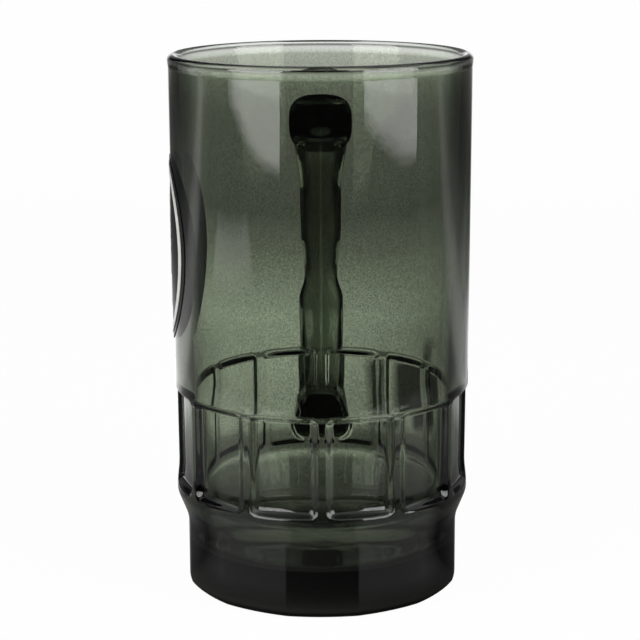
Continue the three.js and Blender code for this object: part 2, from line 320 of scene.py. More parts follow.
def pressed(share, crest_round, foot_round):
    """How deep a pressed flank has sunk: a straight flank with a round at its crest and one at its foot."""
    share = clamp(share)
    slope = 1 / (1 - (crest_round + foot_round) / 2)
    if share < crest_round:
        return slope * share ** 2 / (2 * crest_round)
    if share < 1 - foot_round:
        return slope * (share - crest_round / 2)
    return 1 - slope * (1 - share) ** 2 / (2 * foot_round)


def soft_max(a, b, round_over):
    """The larger of two radii, with a fillet where they meet."""
    near = max(round_over - abs(a - b), 0) / round_over
    return max(a, b) + near * near * round_over / 4


def crowned(middle, curve, off):
    """Radius of a facet that bulges with a given curve, at an angle off its middle."""
    centre = middle - curve
    return centre * math.cos(off) + math.sqrt(curve ** 2 - (centre * math.sin(off)) ** 2)


print("a side has sunk", round(pressed(0.5, *SIDE[1:]), 2), "of its depth halfway down")

# %% [markdown]
# One function gives the outside radius of the glass at any angle and height. From the bottom up it follows
# the facets of the foot, softly joined to the slope and the collar, then the panels, then the plain wall. A
# panel sinks along its sides, its head and its ledge, and where a side meets an end, the distance is
# measured from the middle of a round corner. Booleans could cut the panels too, but they leave no such
# rounds.

# %% Outside of the glass
def from_ridge(angle):
    """The angle to the nearest ridge."""
    turns = angle / PITCH
    return abs(turns - round(turns)) * PITCH


def plain_radius(z):
    """Outside of the plain wall at a height."""
    return BODY_RADIUS - BODY_DRAFT * (MUG_HEIGHT - z) / (MUG_HEIGHT - PANEL_TOP)


def collar_radius(z):
    """The collar's roll, and the straight slope that runs on from it to the foot."""
    centre = COLLAR_RADIUS - COLLAR_ROUND
    slope_level = COLLAR_HEIGHT - COLLAR_ROUND * math.sin(SLOPE_ANGLE)
    if z >= COLLAR_HEIGHT:
        top_centre = COLLAR_RADIUS - COLLAR_TOP_ROUND
        return top_centre + math.sqrt(COLLAR_TOP_ROUND ** 2 - (z - COLLAR_HEIGHT) ** 2)
    if z >= slope_level:
        return centre + math.sqrt(COLLAR_ROUND ** 2 - (z - COLLAR_HEIGHT) ** 2)
    slope_start = centre + COLLAR_ROUND * math.cos(SLOPE_ANGLE)
    return slope_start - (slope_level - z) * math.tan(SLOPE_ANGLE)


def sunk(from_side, from_end, end):
    """How deep a panel has sunk at a distance from its side and from one end, with a round corner."""
    if max(from_side, from_end) >= PANEL_CORNER:
        if from_end < from_side:
            return pressed(from_end / end[0], end[1], end[2])
        return pressed(from_side / SIDE[0], SIDE[1], SIDE[2])
    off_side = PANEL_CORNER - from_side
    off_end = PANEL_CORNER - from_end
    off = math.hypot(off_side, off_end)
    end_share = (off_end / off) ** 2
    flank, crest_round, foot_round = [a + (b - a) * end_share for a, b in zip(SIDE, end)]
    return pressed((PANEL_CORNER - off) / flank, crest_round, foot_round)


def panel_radius(away, z):
    """Radius in the band of panels, at an angle away from a ridge and a height."""
    draft = PANEL_DRAFT * (PANEL_TOP - z) / (PANEL_TOP - PANEL_BOTTOM)
    crest = PANEL_TOP_RADIUS - RIDGE_SINK - draft
    floor = crowned(PANEL_FLOOR_RADIUS, PANEL_FLOOR_CURVE, PITCH / 2 - away) - draft
    up = (z - PANEL_BOTTOM) / RIDGE_RISE
    down = (PANEL_TOP - z) / PANEL_HEAD
    lip = collar_radius(PANEL_BOTTOM)
    ridge = lip + (crest - lip) * smooth(up)
    ridge += (PANEL_TOP_RADIUS - crest) * (1 - smooth(down))
    from_side = away * PANEL_TOP_RADIUS - RIDGE_CREST / 2
    depth = sunk(from_side, PANEL_TOP - z, HEAD)
    depth *= sunk(from_side, z - PANEL_BOTTOM, LEDGE)
    return ridge - (crest - floor) * depth


def pad_radius(angle, z):
    """Where the lower arm of the handle was fused on, hot glass has filled the relief up to the ridge."""
    across = math.sin(angle) * PANEL_FLOOR_RADIUS
    spread = math.hypot(across / PAD_HALF_WIDTH, (z - LOWER_LEVEL) / PAD_HALF_HEIGHT)
    if spread > 1 + PAD_FADE or math.cos(angle) > 0:
        return 0.0
    return PAD_RADIUS - PAD_DROP * smooth((spread - 1) / PAD_FADE)


def outside_radius(angle, z):
    """Outside of the glass anywhere under the rim."""
    away = from_ridge(angle)
    if PANEL_BOTTOM <= z < PANEL_TOP:
        return max(panel_radius(away, z), pad_radius(angle, z))
    if z < PANEL_BOTTOM:
        return soft_max(crowned(FOOT_RADIUS, FOOT_CURVE, away), collar_radius(z), FOOT_EDGE_ROUND)
    return plain_radius(z)


print("radius on a ridge:", round(outside_radius(0, 40), 2), "mm")
print("radius in a panel:", round(outside_radius(PITCH / 2, 40), 2), "mm")

# %% [markdown]
# The plunger that pressed the inside was smooth and round, so one radius for each height is enough. The
# wall grows thicker downwards, as the plunger's taper leaves it, and the foot is a solid block of glass.

# %% Bore
def inside_radius(z):
    """From the top down: the plain wall, a straight taper, the thick foot and a round corner."""
    corner = BASE_THICKNESS + INNER_CORNER
    low = PANEL_BOTTOM + PANEL_LEDGE / 2
    if z >= TAPER_TOP:
        return plain_radius(z) - WALL
    if z >= low:
        wall = plain_radius(TAPER_TOP) - WALL
        return wall + (INNER_BAND_RADIUS - wall) * clamp((TAPER_TOP - z) / (TAPER_TOP - TAPER_END))
    if z >= corner:
        share = smooth((low - z) / (low - corner))
        return INNER_BAND_RADIUS + (INNER_FOOT_RADIUS - INNER_BAND_RADIUS) * share
    return INNER_FOOT_RADIUS - INNER_CORNER + math.sqrt(INNER_CORNER ** 2 - (corner - z) ** 2)


print("radius of the bore under the rim and in the foot:", round(inside_radius(TAPER_TOP), 2),
      round(inside_radius(BASE_THICKNESS + INNER_CORNER), 2), "mm")

# %% [markdown]
# The vessel is round before its panels are pressed, so its half section is drawn first: one vertex,
# extruded from point to point from the middle of the base, up the outside, over the rim and down the inside
# to the middle of the floor. The points lie closer together where the press leaves its edges.

# %% Half section of the vessel
SHOULDER = MUG_HEIGHT - RIM_ROUND - RIM_BLEND
# The upper end of each band of the outside, and its number of steps
OUTSIDE_BANDS = [
    (15.4, 6), (19.2, 18), (22.4, 4), (PANEL_BOTTOM, 12), (27.6, 18), (29.0, 2), (46.8, 12),
    (PANEL_TOP, 16), (SHOULDER, 14)]
RIM_STEPS = 14
BEAD_STEPS = 26


def steps(start, end, count):
    """Numbers from start to end in equal steps, without the start itself."""
    return [start + (end - start) * (i + 1) / count for i in range(count)]


def section_points():
    """Radius and height of each point of the half section, in millimetres, on the line of a ridge."""
    heel = FOOT_RADIUS - HEEL_RADIUS
    points = [(0.0, 0.0)]
    points += [(radius, 0.0) for radius in steps(0, heel, 6)]
    for turn in steps(0, math.pi / 2, 8):
        points.append((heel + HEEL_RADIUS * math.sin(turn), HEEL_RADIUS * (1 - math.cos(turn))))
    level = HEEL_RADIUS
    for band_end, count in OUTSIDE_BANDS:
        points += [(outside_radius(0, z), z) for z in steps(level, band_end, count)]
        level = band_end
    brim = MUG_HEIGHT - RIM_ROUND
    rim_middle = RIM_RADIUS - RIM_ROUND
    for z in steps(SHOULDER, brim, RIM_STEPS)[:-1]:
        share = smooth((z - SHOULDER) / RIM_BLEND)
        points.append((plain_radius(z) + (RIM_RADIUS - plain_radius(z)) * share, z))
    for turn in [0.0] + steps(0, math.pi, BEAD_STEPS):
        points.append((rim_middle + RIM_ROUND * math.cos(turn), brim + RIM_ROUND * math.sin(turn)))
    for z in steps(brim, SHOULDER, RIM_STEPS):
        share = smooth((z - SHOULDER) / RIM_BLEND)
        wall = plain_radius(z) - WALL
        points.append((wall + (rim_middle - RIM_ROUND - wall) * share, z))
    corner = BASE_THICKNESS + INNER_CORNER
    levels = steps(SHOULDER, TAPER_END, 18)
    levels += steps(TAPER_END, PANEL_BOTTOM + PANEL_LEDGE / 2, 5)
    levels += steps(PANEL_BOTTOM + PANEL_LEDGE / 2, corner, 10)
    points += [(inside_radius(z), z) for z in levels]
    for turn in steps(0, math.pi / 2, 10):
        radius = INNER_FOOT_RADIUS - INNER_CORNER * (1 - math.cos(turn))
        points.append((radius, corner - INNER_CORNER * math.sin(turn)))
    points += [(radius, BASE_THICKNESS) for radius in steps(INNER_FOOT_RADIUS - INNER_CORNER, 0, 5)]
    return [Vector((radius, 0, z)) * MM for radius, z in points]


section = section_points()
bpy.ops.object.select_all(action="DESELECT")
bpy.ops.mesh.primitive_plane_add(size=MM, location=section[0])
vessel = bpy.context.object
vessel.name = "glass_vessel"
bpy.ops.object.mode_set(mode="EDIT")
bpy.ops.mesh.select_all(action="SELECT")
bpy.ops.mesh.merge(type="CENTER")
for here, there in zip(section, section[1:]):
    bpy.ops.mesh.extrude_vertices_move(TRANSFORM_OT_translate={"value": there - here})
bpy.ops.object.mode_set(mode="OBJECT")
print("half section:", len(vessel.data.vertices), "points")

# %% [markdown]
# The half section could be spun in edit mode, but at this many steps the Screw modifier does the same work
# in a fraction of the time. It leaves one point for each step at both poles, so the doubles are merged
# before the normals are turned outwards.

# %% Turn the vessel
COLUMNS = 36 * PANELS
MERGE_DISTANCE = 0.001 * MM

lathe = vessel.modifiers.new("lathe", "SCREW")
lathe.axis = "Z"
lathe.angle = 2 * math.pi
lathe.steps = COLUMNS
lathe.render_steps = COLUMNS
lathe.use_merge_vertices = True
lathe.merge_threshold = MERGE_DISTANCE
bpy.ops.object.modifier_apply(modifier=lathe.name)
bpy.ops.object.mode_set(mode="EDIT")
bpy.ops.mesh.select_all(action="SELECT")
bpy.ops.mesh.remove_doubles(threshold=MERGE_DISTANCE)
bpy.ops.mesh.normals_make_consistent(inside=False)
bpy.ops.object.mode_set(mode="OBJECT")
print("turned vessel:", len(vessel.data.vertices), "vertices")

# %% [markdown]
# Now the mould presses its relief into the outside. Twelve panels could be cut with booleans, but glass
# shows every poor facet, so each vertex of the round wall is moved to the radius that the function above
# gives for its angle and height. The columns are first drawn together at the ridges and at the facets'
# edges, where the surface turns quickest.

# %% Press the panels and the foot
COLUMN_GATHER = 0.55
LEVEL_MARGIN = 0.01
CLEAR_OF_BORE = 0.5


def gathered(angle):
    """Moves a column towards the nearest ridge or the nearest middle of a panel."""
    return angle - COLUMN_GATHER * PITCH / (4 * math.pi) * math.sin(4 * math.pi * angle / PITCH)


def is_outside(radius, z):
    """Whether a vertex of the spun vessel lies on its outside, where the mould has its relief."""
    return z <= PANEL_TOP and (z < BASE_THICKNESS - LEVEL_MARGIN or radius > inside_radius(z) + CLEAR_OF_BORE)


for vertex in vessel.data.vertices:
    x, y, z = vertex.co / MM
    radius = math.hypot(x, y)
    angle = gathered(math.atan2(x, -y))
    if is_outside(radius, z):
        if z > HEEL_RADIUS - LEVEL_MARGIN:
            radius = outside_radius(angle, z)
        else:
            bulge = crowned(FOOT_RADIUS, FOOT_CURVE, from_ridge(angle)) - FOOT_RADIUS
            radius += bulge * clamp(radius / (FOOT_RADIUS - HEEL_RADIUS))
    vertex.co = Vector((radius * math.sin(angle), -radius * math.cos(angle), z)) * MM

bpy.ops.object.shade_smooth()
vessel.data.materials.append(body_glass)
print("pressed vessel:", len(vessel.data.polygons), "faces")

# %% [markdown]
# The handle is a bar of glass, pressed in two halves and fused hot to the vessel. As by hand, it starts as
# a ring at the upper root, is drawn straight back, spun round the upper bend, drawn down the grip, spun
# round the lower bend and drawn forward to the lower root.

# %% Sweep the handle
HANDLE_REACH = 38.0
UPPER_DROP = 21.8
UPPER_LEVEL = MUG_HEIGHT - UPPER_DROP
UPPER_BEND = 17.0
LOWER_BEND = 22.0
GRIP_THICKNESS = 8.6
ROOT_GAP = 0.06
SEAT_PASSES = 4
GRIP_BACK = BODY_RADIUS + HANDLE_REACH - GRIP_THICKNESS / 2
RING_POINTS = 96
UPPER_ARM_STEPS = 20
UPPER_BEND_STEPS = 24
GRIP_STEPS = 30
LOWER_BEND_STEPS = 28
LOWER_ARM_STEPS = 16


def root_seat(x, z):
    """How far back the glass of the vessel lies at one point of a root, with the gap between the two."""
    y = BODY_RADIUS
    for _ in range(SEAT_PASSES):
        reach = outside_radius(math.atan2(x, -y), z) + ROOT_GAP
        y = math.sqrt(reach ** 2 - x ** 2)
    return y


def draw_on(direction, length, count):
    """Extrudes the selected ring straight on, in equal steps."""
    for _ in range(count):
        bpy.ops.mesh.extrude_region_move(
            TRANSFORM_OT_translate={"value": Vector(direction) * length / count * MM})


upper_root = root_seat(0, UPPER_LEVEL)
lower_root = root_seat(0, LOWER_LEVEL)
upper_arm = GRIP_BACK - UPPER_BEND - upper_root
grip = UPPER_LEVEL - UPPER_BEND - LOWER_LEVEL - LOWER_BEND
lower_arm = GRIP_BACK - LOWER_BEND - lower_root
bpy.ops.object.select_all(action="DESELECT")
bpy.ops.mesh.primitive_circle_add(
    vertices=RING_POINTS, radius=GRIP_THICKNESS / 2 * MM, fill_type="NOTHING",
    location=Vector((0, upper_root, UPPER_LEVEL)) * MM, rotation=(math.pi / 2, 0, 0))
handle = bpy.context.object
handle.name = "glass_handle"
bpy.ops.object.transform_apply(location=True, rotation=True)
bpy.ops.object.mode_set(mode="EDIT")
bpy.ops.mesh.select_all(action="SELECT")
draw_on((0, 1, 0), upper_arm, UPPER_ARM_STEPS)
bpy.ops.mesh.spin(
    steps=UPPER_BEND_STEPS, angle=math.pi / 2, axis=(1, 0, 0),
    center=Vector((0, GRIP_BACK - UPPER_BEND, UPPER_LEVEL - UPPER_BEND)) * MM)
draw_on((0, 0, -1), grip, GRIP_STEPS)
bpy.ops.mesh.spin(
    steps=LOWER_BEND_STEPS, angle=math.pi / 2, axis=(1, 0, 0),
    center=Vector((0, GRIP_BACK - LOWER_BEND, LOWER_LEVEL + LOWER_BEND)) * MM)
draw_on((0, -1, 0), lower_arm, LOWER_ARM_STEPS)
bpy.ops.mesh.select_all(action="SELECT")
bpy.ops.mesh.remove_doubles(threshold=MERGE_DISTANCE)
bpy.ops.object.mode_set(mode="OBJECT")
low = [min(v.co[axis] for v in handle.data.vertices) / MM for axis in range(3)]
high = [max(v.co[axis] for v in handle.data.vertices) / MM for axis in range(3)]
print("handle from", [round(v, 1) for v in low], "to", [round(v, 1) for v in high], "mm")

# %% [markdown]
# The ends are closed with a grid of faces, so that the roots can follow the round of the vessel. A grid
# fill needs one open loop at a time, and each is picked by its place.

# %% Close the roots
def close_root(level):
    """Fills the open ring of the handle that lies at one level."""
    bpy.ops.object.mode_set(mode="EDIT")
    bpy.ops.mesh.select_mode(type="EDGE")
    bpy.ops.mesh.select_all(action="DESELECT")
    bpy.ops.mesh.select_non_manifold()
    bpy.ops.object.mode_set(mode="OBJECT")
    for edge in handle.data.edges:
        middle = (handle.data.vertices[edge.vertices[0]].co + handle.data.vertices[edge.vertices[1]].co) / 2
        edge.select = edge.select and abs(middle.z / MM - level) < GRIP_THICKNESS
    bpy.ops.object.mode_set(mode="EDIT")
    bpy.ops.mesh.fill_grid(span=RING_POINTS // 4)
    bpy.ops.mesh.select_all(action="SELECT")
    bpy.ops.mesh.normals_make_consistent(inside=False)
    bpy.ops.object.mode_set(mode="OBJECT")


close_root(UPPER_LEVEL)
close_root(LOWER_LEVEL)
print("handle:", len(handle.data.polygons), "faces")

# %% [markdown]
# The round bar is then drawn to its real section: wide and flat along the upper arm, narrow at the waist of
# the grip, wider again at its foot, and swollen where it was fused on. Each vertex knows how far along the
# bar it lies, and its distance from the middle line is stretched to the width and the thickness there. The
# two halves of the mould leave a fine raised seam down the middle of the bar, inside and outside.

# %% Shape the handle
UPPER_ARM_WIDTH = 16.6
GRIP_TOP_WIDTH = 12.5
WAIST_WIDTH = 10.4
WAIST_DROP = 69.0
GRIP_FOOT_WIDTH = 14.2
LOWER_ARM_WIDTH = 12.2
WIDE_BEND_SHARE = 0.6
GRIP_SHOULDER = 8.0
ROOT_SWELL = 0.6
UPPER_ROOT_DEPTH = 15.6
LOWER_ROOT_DEPTH = 10.4
ROOT_FLARE = 5.0
ROOT_SQUARE = 0.8
SEAM_HEIGHT = 0.1
SEAM_WIDTH = 0.5
SEAM_FADE = 6.0
SKIN_SHARE = 0.9
CREASE_ANGLE = math.radians(50)
RING_GATHER = 0.7
UPPER_ARC = UPPER_BEND * math.pi / 2
LOWER_ARC = LOWER_BEND * math.pi / 2
ARM_END = upper_arm
GRIP_START = ARM_END + UPPER_ARC
GRIP_END = GRIP_START + grip
BAR_LENGTH = GRIP_END + LOWER_ARC + lower_arm
WAIST = GRIP_START + WAIST_DROP - UPPER_DROP - UPPER_BEND
# Lengths along the bar, and its width there
WIDTHS = [
    (0.0, UPPER_ARM_WIDTH), (ARM_END + UPPER_ARC * WIDE_BEND_SHARE, UPPER_ARM_WIDTH),
    (GRIP_START + GRIP_SHOULDER, GRIP_TOP_WIDTH),
    ((GRIP_START + GRIP_SHOULDER + WAIST) / 2, GRIP_TOP_WIDTH),
    (WAIST, WAIST_WIDTH), (GRIP_END, GRIP_FOOT_WIDTH), (BAR_LENGTH, LOWER_ARM_WIDTH)]


def width_at(along):
    """Width of the bar at a length along it."""
    for (start, narrow), (end, wide) in zip(WIDTHS, WIDTHS[1:]):
        if along <= end:
            return narrow + (wide - narrow) * smooth((along - start) / (end - start))
    return LOWER_ARM_WIDTH


def middle_line(y, z):
    """For a point of the bar: how far along it lies, how far out, and the outward direction there."""
    upper_centre = Vector((GRIP_BACK - UPPER_BEND, UPPER_LEVEL - UPPER_BEND))
    lower_centre = Vector((GRIP_BACK - LOWER_BEND, LOWER_LEVEL + LOWER_BEND))
    point = Vector((y, z))
    if z >= upper_centre.y and y <= upper_centre.x:
        return y - upper_root, z - UPPER_LEVEL, Vector((0, 1))
    if z >= upper_centre.y:
        spoke = point - upper_centre
        turn = math.atan2(spoke.x, spoke.y)
        return ARM_END + UPPER_BEND * turn, spoke.length - UPPER_BEND, spoke.normalized()
    if z >= lower_centre.y:
        return GRIP_START + upper_centre.y - z, y - GRIP_BACK, Vector((1, 0))
    if y >= lower_centre.x:
        spoke = point - lower_centre
        turn = math.atan2(-spoke.y, spoke.x)
        return GRIP_END + LOWER_BEND * turn, spoke.length - LOWER_BEND, spoke.normalized()
    return GRIP_END + LOWER_ARC + lower_centre.x - y, LOWER_LEVEL - z, Vector((0, -1))


for vertex in handle.data.vertices:
    x, y, z = vertex.co / MM
    along, out, outward = middle_line(y, z)
    # The points of a ring gather at the seam, and the section grows squarer towards a root
    away = math.hypot(x, out)
    turn = math.atan2(x, out)
    turn -= RING_GATHER / 2 * math.sin(2 * turn)
    to_root = min(along, BAR_LENGTH - along)
    swell = max(0, 1 - to_root / ROOT_FLARE) ** 2
    corner = 2 + ROOT_SQUARE * (1 - smooth(to_root / (2 * ROOT_FLARE)))
    away /= (abs(math.sin(turn)) ** corner + abs(math.cos(turn)) ** corner) ** (1 / corner)
    y += outward.x * (away * math.cos(turn) - out)
    z += outward.y * (away * math.cos(turn) - out)
    x, out = away * math.sin(turn), away * math.cos(turn)
    # The section is stretched to its width and thickness
    wide = (width_at(along) + ROOT_SWELL * swell) / GRIP_THICKNESS
    root_depth = UPPER_ROOT_DEPTH if along < BAR_LENGTH / 2 else LOWER_ROOT_DEPTH
    deep = (GRIP_THICKNESS + (root_depth - GRIP_THICKNESS) * swell) / GRIP_THICKNESS
    across = x * wide
    # The seam rises on the skin of the bar, and not inside the closed ends
    seam = SEAM_HEIGHT * math.exp(-(across / SEAM_WIDTH * 2) ** 2) * smooth(to_root / SEAM_FADE)
    rim_share = clamp(math.hypot(x, out) / (GRIP_THICKNESS / 2))
    seam *= smooth((rim_share - SKIN_SHARE) / (1 - SKIN_SHARE))
    move = out * (deep - 1) + math.copysign(seam, out)
    y += outward.x * move
    z += outward.y * move
    # A root follows the round of the vessel
    if to_root < ROOT_FLARE:
        middle = upper_root if along < BAR_LENGTH / 2 else lower_root
        y += (root_seat(across, z) - middle) * (1 - smooth(to_root / ROOT_FLARE))
    vertex.co = Vector((across, y, z)) * MM

bpy.ops.object.select_all(action="DESELECT")
handle.select_set(True)
bpy.context.view_layer.objects.active = handle
bpy.ops.object.shade_smooth_by_angle(angle=CREASE_ANGLE)
handle.data.materials.append(handle_glass)
print("bar:", round(BAR_LENGTH, 1), "mm long")

# %% [markdown]
# The badge is printed enamel: a black oval, a white keyline inside its edge and a white ear of barley. Each
# layer is drawn flat in the YZ plane, as seen from the left, and then laid on the wall, just off what it is
# printed on. A Shrinkwrap modifier could do that too, but the radius of the wall is known at every height.

# %% Lay a flat sheet on the wall
BADGE_WIDTH = 33.0
BADGE_HEIGHT = 45.0
BADGE_RISE = 11.0
BADGE_LEVEL = PANEL_TOP + BADGE_RISE + BADGE_HEIGHT / 2
ENAMEL_THICKNESS = 0.12
ENAMEL_GAP = 0.05
OVAL_POINTS = 144
SHARP_ANGLE = math.radians(40)


def lay_on_wall(sheet, layer):
    """Moves a flat sheet, drawn in the YZ plane, onto the -X wall, and thickens it outwards."""
    under = ENAMEL_GAP + layer * (ENAMEL_THICKNESS + ENAMEL_GAP)
    for vertex in sheet.data.vertices:
        y, z = vertex.co.y / MM, vertex.co.z / MM
        radius = plain_radius(z) + under
        vertex.co.x = -math.sqrt(radius ** 2 - y ** 2) * MM
    bpy.ops.object.select_all(action="DESELECT")
    sheet.select_set(True)
    bpy.context.view_layer.objects.active = sheet
    bpy.ops.object.mode_set(mode="EDIT")
    bpy.ops.mesh.select_all(action="SELECT")
    bpy.ops.mesh.normals_make_consistent(inside=False)
    bpy.ops.object.mode_set(mode="OBJECT")
    if sum(face.normal.x * face.area for face in sheet.data.polygons) > 0:
        sheet.data.flip_normals()
    thickness = sheet.modifiers.new("enamel", "SOLIDIFY")
    thickness.thickness = ENAMEL_THICKNESS * MM
    thickness.offset = 1.0
    bpy.ops.object.modifier_apply(modifier=thickness.name)
    bpy.ops.object.shade_smooth_by_angle(angle=SHARP_ANGLE)


def flat_oval(name, wide, tall, y=0.0, z=BADGE_LEVEL, lean=0.0, points=OVAL_POINTS):
    """A filled oval in the YZ plane, leaning to one side, left in edit mode with all of it selected."""
    bpy.ops.object.select_all(action="DESELECT")
    bpy.ops.mesh.primitive_circle_add(
        vertices=points, radius=0.5 * MM, fill_type="NGON", rotation=(0, -math.pi / 2, 0))
    sheet = bpy.context.object
    sheet.name = name
    sheet.scale = (tall, wide, 1.0)
    bpy.ops.object.transform_apply(location=False, rotation=True, scale=True)
    sheet.data.transform(Matrix.Rotation(lean, 4, "X"))
    sheet.data.transform(Matrix.Translation(Vector((0, y, z)) * MM))
    bpy.ops.object.mode_set(mode="EDIT")
    bpy.ops.mesh.select_all(action="SELECT")
    return sheet


print("badge:", BADGE_WIDTH, "by", BADGE_HEIGHT, "mm, its middle", BADGE_LEVEL, "mm up")

# %% [markdown]
# A large flat face would not follow the round of the wall, so the black oval gets rings of vertices from
# its edge to its middle: each one is a small inset that is then scaled. The keyline is the rim of a smaller
# oval, and what lies inside its inset is deleted.

# %% Oval and keyline
OVAL_RINGS = 10
FIRST_INSET = 0.01 * MM
KEYLINE_INSET = 1.5
KEYLINE_WIDTH = 1.7

badge_field = flat_oval("badge_black_oval", BADGE_WIDTH, BADGE_HEIGHT)
for ring in range(1, OVAL_RINGS):
    bpy.ops.mesh.inset(thickness=FIRST_INSET)
    shrink = 1 - 1 / (OVAL_RINGS - ring + 1)
    bpy.ops.transform.resize(value=(1, shrink, shrink), center_override=(0, 0, BADGE_LEVEL * MM))
bpy.ops.mesh.poke()
bpy.ops.object.mode_set(mode="OBJECT")
lay_on_wall(badge_field, 0)
badge_field.data.materials.append(black_enamel)

badge_keyline = flat_oval(
    "badge_white_keyline", BADGE_WIDTH - 2 * KEYLINE_INSET, BADGE_HEIGHT - 2 * KEYLINE_INSET)
bpy.ops.mesh.inset(thickness=KEYLINE_WIDTH * MM)
bpy.ops.mesh.delete(type="FACE")
bpy.ops.object.mode_set(mode="OBJECT")
lay_on_wall(badge_keyline, 1)
badge_keyline.data.materials.append(white_enamel)
print("badge oval and keyline:", len(badge_field.data.polygons), len(badge_keyline.data.polygons), "faces")

# %% [markdown]
# The ear of barley is a stalk with leaning pairs of grains and one grain at its tip. Every grain is the
# same oval, leaned to its side and moved to its place up the stalk.

# %% Barley ear
EAR_HEIGHT = 29.0
GRAIN_LENGTH = 6.6
GRAIN_WIDTH = 2.7
GRAIN_POINTS = 40
GRAIN_PAIRS = 4
GRAIN_TUCK = 0.85
BARE_STALK = 1.5 * GRAIN_LENGTH
GRAIN_SPLAY = math.radians(32)
STALK_WIDTH = 1.1
EAR_TIP = EAR_HEIGHT / 2 - GRAIN_LENGTH / 2
GRAIN_RISE = (EAR_HEIGHT - BARE_STALK) / (GRAIN_PAIRS + 1)
GRAIN_OUT = GRAIN_LENGTH / 2 * math.sin(GRAIN_SPLAY) * GRAIN_TUCK


def grain(side, level):
    """One grain of the ear: side -1 leans to the left, 1 to the right and 0 stands at the tip."""
    piece = flat_oval(
        "grain", GRAIN_WIDTH, GRAIN_LENGTH, side * GRAIN_OUT, BADGE_LEVEL + level, -side * GRAIN_SPLAY,
        GRAIN_POINTS)
    bpy.ops.object.mode_set(mode="OBJECT")
    return piece


ear_pieces = [grain(0, EAR_TIP)]
for pair in range(GRAIN_PAIRS):
    ear_pieces += [grain(side, EAR_TIP - (pair + 1) * GRAIN_RISE) for side in (-1, 1)]
bpy.ops.object.select_all(action="DESELECT")
bpy.ops.mesh.primitive_plane_add(size=MM, rotation=(0, -math.pi / 2, 0))
stalk = bpy.context.object
stalk.scale = (EAR_TIP + EAR_HEIGHT / 2, STALK_WIDTH, 1.0)
bpy.ops.object.transform_apply(location=False, rotation=True, scale=True)
stalk_middle = BADGE_LEVEL + (EAR_TIP - EAR_HEIGHT / 2) / 2
stalk.data.transform(Matrix.Translation(Vector((0, 0, stalk_middle)) * MM))
ear_pieces.append(stalk)
print("ear:", len(ear_pieces), "strokes")

# %% [markdown]
# The strokes of the ear cross each other, so they are thickened a little and joined into one solid with
# booleans before they are laid on the wall. The front of that solid is then kept as the flat sheet.

# %% Join the ear
SLAB = 1.0 * MM
FACING_OUT = -0.9
EAR_MERGE = 0.002 * MM

bpy.ops.object.select_all(action="DESELECT")
for piece in ear_pieces:
    piece.select_set(True)
    bpy.context.view_layer.objects.active = piece
    slab = piece.modifiers.new("slab", "SOLIDIFY")
    slab.thickness = SLAB
    slab.offset = 0.0
    bpy.ops.object.modifier_apply(modifier=slab.name)
badge_ear = ear_pieces[0]
badge_ear.name = "badge_white_barley_ear"
bpy.context.view_layer.objects.active = badge_ear
for piece in ear_pieces[1:]:
    join = badge_ear.modifiers.new("join", "BOOLEAN")
    join.operation = "UNION"
    join.solver = "EXACT"
    join.object = piece
    bpy.ops.object.modifier_apply(modifier=join.name)
    bpy.data.objects.remove(piece)
bpy.ops.object.mode_set(mode="EDIT")
bpy.ops.mesh.select_mode(type="FACE")
bpy.ops.mesh.select_all(action="DESELECT")
bpy.ops.object.mode_set(mode="OBJECT")
for face in badge_ear.data.polygons:
    face.select = face.normal.x > FACING_OUT
bpy.ops.object.mode_set(mode="EDIT")
bpy.ops.mesh.delete(type="FACE")
bpy.ops.mesh.select_all(action="SELECT")
bpy.ops.mesh.remove_doubles(threshold=EAR_MERGE)
bpy.ops.mesh.quads_convert_to_tris()
bpy.ops.object.mode_set(mode="OBJECT")
lay_on_wall(badge_ear, 1)
badge_ear.data.materials.append(white_enamel)
print("barley ear:", len(badge_ear.data.polygons), "faces")

# %% [markdown]
# Each finished piece takes the place of its solid and rides on the part's one body.

# %% Tie the pieces to the frame
PIECES = [
    (vessel, "body", "smoke_glass"), (handle, "handle", "smoke_glass_handle"),
    (badge_field, "badge_field", "black_enamel"), (badge_keyline, "badge_keyline", "white_enamel"),
    (badge_ear, "badge_barley_ear", "white_enamel")]
for piece, node, slot in PIECES:
    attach(piece, "root")
    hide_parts(node)
print("pieces:", [piece.name for piece, _, _ in PIECES])

# %% [markdown]
# The stage is a sheet of white paper that runs back along the table and curves up behind the mug. A plane
# is scaled to the table, its back edge is spun up into the curve, and the upright part is extruded from
# there.

# %% Paper sweep
SWEEP_HALF_WIDTH = 1.6
SWEEP_FRONT = -0.14
SWEEP_BACK = 0.55
SWEEP_CURVE = 0.1
SWEEP_CURVE_STEPS = 16
SWEEP_HEIGHT = 1.4

bpy.ops.object.select_all(action="DESELECT")
bpy.ops.mesh.primitive_plane_add(size=1.0)
sweep = bpy.context.object
sweep.name = "paper_sweep"
sweep.scale = (2 * SWEEP_HALF_WIDTH, SWEEP_BACK - SWEEP_FRONT, 1.0)
sweep.location = (0, (SWEEP_BACK + SWEEP_FRONT) / 2, 0)
bpy.ops.object.transform_apply(location=True, rotation=True, scale=True)
bpy.ops.object.mode_set(mode="EDIT")
bpy.ops.mesh.select_mode(type="EDGE")
bpy.ops.mesh.select_all(action="DESELECT")
bpy.ops.object.mode_set(mode="OBJECT")
for edge in sweep.data.edges:
    edge.select = all(sweep.data.vertices[i].co.y > SWEEP_BACK - MM for i in edge.vertices)
bpy.ops.object.mode_set(mode="EDIT")
bpy.ops.mesh.spin(
    steps=SWEEP_CURVE_STEPS, angle=math.pi / 2, axis=(-1, 0, 0), center=(0, SWEEP_BACK, SWEEP_CURVE))
bpy.ops.mesh.extrude_region_move(TRANSFORM_OT_translate={"value": (0, 0, SWEEP_HEIGHT)})
bpy.ops.object.mode_set(mode="OBJECT")
bpy.ops.object.shade_smooth()
